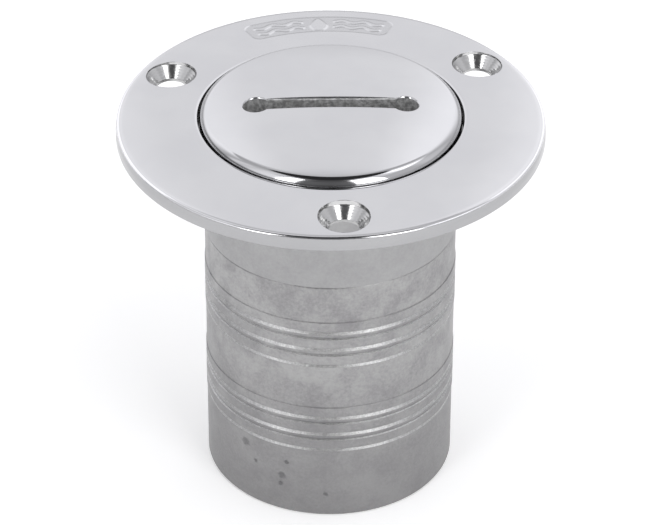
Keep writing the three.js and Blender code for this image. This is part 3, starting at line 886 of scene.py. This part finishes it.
def make_swivel():
    outline = rounded([
        (SWIVEL_HOLE_R, SWIVEL_BOTTOM, 0.2), (SWIVEL_R, SWIVEL_BOTTOM, 0.4),
        (SWIVEL_R, SWIVEL_TOP, 0.3), (SWIVEL_HOLE_R, SWIVEL_TOP, 0.2),
    ], 5)
    parts = [outward(lathe("plate", outline, 128))]
    path = [(BAIL_HALF_WIDTH, 0, SWIVEL_BOTTOM + 0.6), (BAIL_HALF_WIDTH, 0, SWIVEL_BOTTOM - 1.5)]
    for k in range(49):
        turn = -math.pi * k / 48
        path.append((BAIL_HALF_WIDTH * math.cos(turn), 0, BAIL_BEND + BAIL_HALF_WIDTH * math.sin(turn)))
    path += [(-BAIL_HALF_WIDTH, 0, SWIVEL_BOTTOM - 1.5), (-BAIL_HALF_WIDTH, 0, SWIVEL_BOTTOM + 0.6)]
    parts.append(outward(tube("bail", path, BAIL_R, (0, 1, 0), False, 24)))
    weld = [
        (0, SWIVEL_BOTTOM + 0.3), (BAIL_R + 0.55, SWIVEL_BOTTOM + 0.1),
        (BAIL_R + 0.38, SWIVEL_BOTTOM - 0.25), (BAIL_R + 0.1, SWIVEL_BOTTOM - 0.45),
        (BAIL_R - 0.1, SWIVEL_BOTTOM - 0.6), (0, SWIVEL_BOTTOM - 0.6),
    ]
    for side in (-1, 1):
        parts.append(outward(lathe("weld", weld, 32, (side * BAIL_HALF_WIDTH, 0))))
    swivel = gather("swivel_bail", parts)
    smooth(swivel, 40)
    dress(swivel, "swivel", ["chain_swivel"], [wire_steel("swivel_steel")])


def make_link(number):
    """An oval wire link with the small swelling of its butt weld on one leg."""
    low, high = (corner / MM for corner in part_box(f"chain_link_{number}"))
    upper = high.z - WIRE_R - LINK_HALF_WIDTH
    lower = low.z + WIRE_R + LINK_HALF_WIDTH
    path = []
    for bend, start in ((upper, 0.0), (lower, math.pi)):
        for k in range(25):
            turn = start + math.pi * k / 24
            out = LINK_HALF_WIDTH * math.cos(turn)
            z = bend + LINK_HALF_WIDTH * math.sin(turn)
            path.append((0, out, z) if number % 2 else (out, 0, z))
        leg = [path[-1][0], path[-1][1]]
        target = lower if bend == upper else upper
        for k in range(1, 8):
            path.append((*leg, bend + (target - bend) * k / 8))
    middle = LINK_WELD_STEP / len(path)

    def wire_radius(along):
        return WIRE_R * (1 + LINK_WELD_SWELL * math.exp(-(((along - middle) / 0.02) ** 2)))

    across = (1, 0, 0) if number % 2 else (0, 1, 0)
    link = outward(tube(f"link_{number}_wire", path, wire_radius, across, True))
    smooth(link, 60)
    steel = wire_steel(f"link_{number}_steel")
    dress(link, f"link_{number}", [f"chain_link_{number}"], [steel])


def make_keeper():
    low, high = (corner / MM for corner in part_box("chain_keeper"))
    eye_centre = high.z - WIRE_R - KEEPER_EYE_R
    bar_height = low.z + KEEPER_BAR_R + 0.03
    path = []
    for k in range(64):
        turn = 2 * math.pi * k / 64
        path.append((0, KEEPER_EYE_R * math.cos(turn), eye_centre + KEEPER_EYE_R * math.sin(turn)))
    parts = [outward(tube("eye", path, WIRE_R, (1, 0, 0), True))]
    bar = rounded([
        (0, -KEEPER_HALF_LENGTH, 0), (KEEPER_BAR_R, -KEEPER_HALF_LENGTH, 1.1),
        (KEEPER_BAR_R, KEEPER_HALF_LENGTH, 1.1), (0, KEEPER_HALF_LENGTH, 0),
    ], 8)
    points, faces = turned_mesh(bar, 48)
    parts.append(outward(new_object("bar", [(z, y, x + bar_height) for x, y, z in points], faces)))
    weld = [(0, 1.0), (1.1, 0.95), (1.5, 0.45), (1.9, -0.1), (2.0, -0.6), (0, -0.8)]
    rings, skin = turned_mesh(weld, 32)
    top = bar_height + KEEPER_BAR_R
    parts.append(outward(new_object("weld", [(x * 0.8, y * 0.62, z + top) for x, y, z in rings], skin)))
    keeper = gather("keeper_bar", parts)
    smooth(keeper, 50)
    dress(keeper, "keeper", ["chain_keeper"], [wire_steel("keeper_steel")])


# ------------------------------------------------------------------ studio
CAMERA_HEIGHT = math.radians(34.81)
CAMERA_ROUND = math.radians(-4.2)
CAMERA_DISTANCE = 0.7556
CAMERA_LENS = 201.6
CAMERA_SENSOR = 36
CAMERA_SHIFT = (0.0015, 0.0453)
CAMERA_ROLL = 0.0045
LOOK_AT = Vector((0, 0, 0.0378))
SOFTBOX_DISTANCE = 1.1

# What the room shows at low, middle and high elevations: degrees round from the camera, brightness.
ROOM_LOW = (
    (-180, 0.6), (-135, 0.4), (-108, 0.12), (-73, 0.13), (-44, 0.2), (-30, 0.12), (0, 0.06), (20, 0.12),
    (34, 0.5), (55, 0.5), (91, 0.45), (108, 0.38), (135, 0.5), (180, 0.6),
)
ROOM_MIDDLE = (
    (-180, 0.955), (-173, 0.955), (-168, 1.12), (-150, 1.12), (-130, 1.2), (-118, 1.0), (-108, 0.7),
    (-98, 0.52), (-90, 0.9), (-80, 0.75), (-65, 0.98), (-46, 1.05), (-30, 0.6), (-25, 0.16), (0, 0.13),
    (17, 0.15), (22, 0.4), (47, 0.62), (80, 0.62), (90, 0.8), (112, 0.72), (122, 0.6), (130, 0.65),
    (139, 0.84), (146, 1.0), (153, 1.14), (168, 1.24), (174, 0.97), (180, 0.955),
)
ROOM_HIGH = (
    (-180, 0.71), (-163, 0.7), (-157, 0.66), (-152, 0.8), (-144, 0.5), (-130, 0.5), (-105, 0.55),
    (-85, 0.7), (-73, 0.95), (-50, 0.6), (-33, 0.2), (-17, 0.1), (17, 0.1), (28, 0.25), (40, 0.8),
    (66, 0.9), (78, 1.0), (83, 1.8), (112, 1.8), (120, 1.0), (131, 0.8), (143, 0.55), (159, 0.48),
    (166, 0.66), (180, 0.71),
)
ROOM_CEILING = 0.03
ROOM_STRENGTH = 2.0

# Upright softboxes: name, from and to degrees round from the camera, from and to degrees up, brightness.
SOFTBOXES = (("softbox_left", -46, -29, 15, 60, 2.4), ("softbox_right", 21, 47, 12, 60, 2.5))
FLOOR_LIGHT_DISTANCE = 1.6
FLOOR_LIGHT_SIZE = (2.0, 2.0)
FLOOR_LIGHT_POWER = 9.0
FLOOR_R = 4000
FLOOR_SIDES = 64
FLOOR_HEIGHT = -0.05
FLOOR_GLOW = 0.26


def direction(round_degrees, up_degrees):
    """Unit vector from the object; 0 degrees round is towards the camera's side, -Y."""
    a, e = math.radians(round_degrees), math.radians(up_degrees)
    return Vector((math.sin(a) * math.cos(e), -math.cos(a) * math.cos(e), math.sin(e)))


def make_camera():
    data = bpy.data.cameras.new("camera")
    data.lens = CAMERA_LENS
    data.sensor_width = CAMERA_SENSOR
    data.shift_x, data.shift_y = CAMERA_SHIFT
    data.clip_start, data.clip_end = 0.01, 50
    camera = bpy.data.objects.new("camera", data)
    away = direction(math.degrees(CAMERA_ROUND), math.degrees(CAMERA_HEIGHT))
    camera.location = LOOK_AT + away * CAMERA_DISTANCE
    level = (-away).to_track_quat("-Z", "Y").to_matrix()
    camera.rotation_euler = (level @ Matrix.Rotation(CAMERA_ROLL, 3, "Z")).to_euler()
    bpy.context.scene.collection.objects.link(camera)
    bpy.context.scene.camera = camera


def make_area_light(name, place, facing, size, power, mirrored):
    """A rectangular light at a place, facing back along the given direction."""
    data = bpy.data.lights.new(name, "AREA")
    data.shape = "RECTANGLE"
    data.size, data.size_y = size
    data.energy = power
    light = bpy.data.objects.new(name, data)
    light.visible_glossy = mirrored
    light.location = place
    light.rotation_euler = (-facing).to_track_quat("-Z", "Y").to_euler()
    bpy.context.scene.collection.objects.link(light)


def make_softbox(name, left, right, low, high, radiance):
    """An upright light that spans the given degrees round, counted from the camera, and degrees up."""
    away = direction((left + right) / 2 + math.degrees(CAMERA_ROUND), 0)
    width = 2 * SOFTBOX_DISTANCE * math.tan(math.radians((right - left) / 2))
    bottom, top = (SOFTBOX_DISTANCE * math.tan(math.radians(up)) for up in (low, high))
    place = LOOK_AT + away * SOFTBOX_DISTANCE + Vector((0, 0, (bottom + top) / 2))
    area = width * (top - bottom)
    make_area_light(name, place, away, (width, top - bottom), radiance * math.pi * area, True)


def make_world():
    """A pale room: brightest behind the object, dark in front of it, low down and overhead."""
    world = bpy.data.worlds.new("room")
    bpy.context.scene.world = world
    world.use_nodes = True
    tree = world.node_tree
    background = tree.nodes["Background"]

    def node(kind, **settings):
        made = tree.nodes.new(kind)
        for key, value in settings.items():
            setattr(made, key, value)
        return made

    def math_node(operation, *values):
        made = node("ShaderNodeMath", operation=operation)
        for socket, value in zip(made.inputs, values):
            if isinstance(value, (int, float)):
                socket.default_value = value
            else:
                tree.links.new(value, socket)
        return made.outputs["Value"]

    def step(value, low, high):
        made = node("ShaderNodeMapRange", interpolation_type="SMOOTHSTEP")
        made.inputs["From Min"].default_value = low
        made.inputs["From Max"].default_value = high
        tree.links.new(value, made.inputs["Value"])
        return made.outputs["Result"]

    def grey(shade):
        return (shade / ROOM_STRENGTH, shade / ROOM_STRENGTH, shade * 1.03 / ROOM_STRENGTH, 1)

    def around(value, shades):
        ramp = node("ShaderNodeValToRGB")
        stops = ramp.color_ramp.elements
        for stop, (degrees, shade) in zip(stops, (shades[0], shades[-1])):
            stop.position = degrees / 360 + 0.5
            stop.color = grey(shade)
        for degrees, shade in shades[1:-1]:
            stops.new(degrees / 360 + 0.5).color = grey(shade)
        tree.links.new(value, ramp.inputs["Fac"])
        return ramp.outputs["Color"]

    def blend(factor, a, b):
        made = node("ShaderNodeMix", data_type="RGBA")
        tree.links.new(factor, made.inputs["Factor"])
        for socket, value in zip([s for s in made.inputs if s.type == "RGBA"], (a, b)):
            if isinstance(value, tuple):
                socket.default_value = value
            else:
                tree.links.new(value, socket)
        return [s for s in made.outputs if s.type == "RGBA"][0]

    place = node("ShaderNodeTexCoord").outputs["Generated"]
    split = node("ShaderNodeSeparateXYZ")
    tree.links.new(place, split.inputs["Vector"])
    turn = math_node("ARCTAN2", split.outputs["X"], math_node("MULTIPLY", split.outputs["Y"], -1.0))
    turn = math_node("MULTIPLY_ADD", turn, 1 / (2 * math.pi), 0.5 - CAMERA_ROUND / (2 * math.pi))
    turn = math_node("FRACT", turn)
    height = split.outputs["Z"]
    lower = blend(step(height, 0.03, 0.36), around(turn, ROOM_LOW), around(turn, ROOM_MIDDLE))
    upper = blend(step(height, 0.743, 0.766), lower, around(turn, ROOM_HIGH))
    overhead = node("ShaderNodeVectorMath", operation="DOT_PRODUCT")
    overhead.inputs[1].default_value = direction(math.degrees(CAMERA_ROUND), 92.5)
    tree.links.new(place, overhead.inputs[0])
    ceiling = blend(step(overhead.outputs["Value"], 0.915, 0.932), upper, grey(ROOM_CEILING))
    tree.links.new(ceiling, background.inputs["Color"])
    background.inputs["Strength"].default_value = ROOM_STRENGTH


def make_floor():
    ring = []
    for k in range(FLOOR_SIDES):
        turn = 2 * math.pi * k / FLOOR_SIDES
        ring.append((FLOOR_R * math.cos(turn), FLOOR_R * math.sin(turn), FLOOR_HEIGHT))
    floor = new_object("floor", ring, [list(range(FLOOR_SIDES))])
    material = bpy.data.materials.new("pale_floor")
    material.use_nodes = True
    shader = material.node_tree.nodes["Principled BSDF"]
    shader.inputs["Base Color"].default_value = (0.9, 0.9, 0.9, 1)
    shader.inputs["Roughness"].default_value = 0.9
    shader.inputs["Specular IOR Level"].default_value = 0.1
    shader.inputs["Emission Color"].default_value = (1, 1, 1, 1)
    shader.inputs["Emission Strength"].default_value = FLOOR_GLOW
    floor.data.materials.append(material)


make_camera()
make_world()
make_floor()
for softbox in SOFTBOXES:
    make_softbox(*softbox)
overhead = direction(0, 80)
make_area_light("floor_light", LOOK_AT + overhead * FLOOR_LIGHT_DISTANCE, overhead,
                FLOOR_LIGHT_SIZE, FLOOR_LIGHT_POWER, False)
make_filler()
make_cap()
make_seal()
make_screw()
make_swivel()
for number in range(1, LINKS + 1):
    make_link(number)
make_keeper()

bpy.context.scene.view_settings.view_transform = "Standard"
bpy.context.scene.view_settings.look = "None"
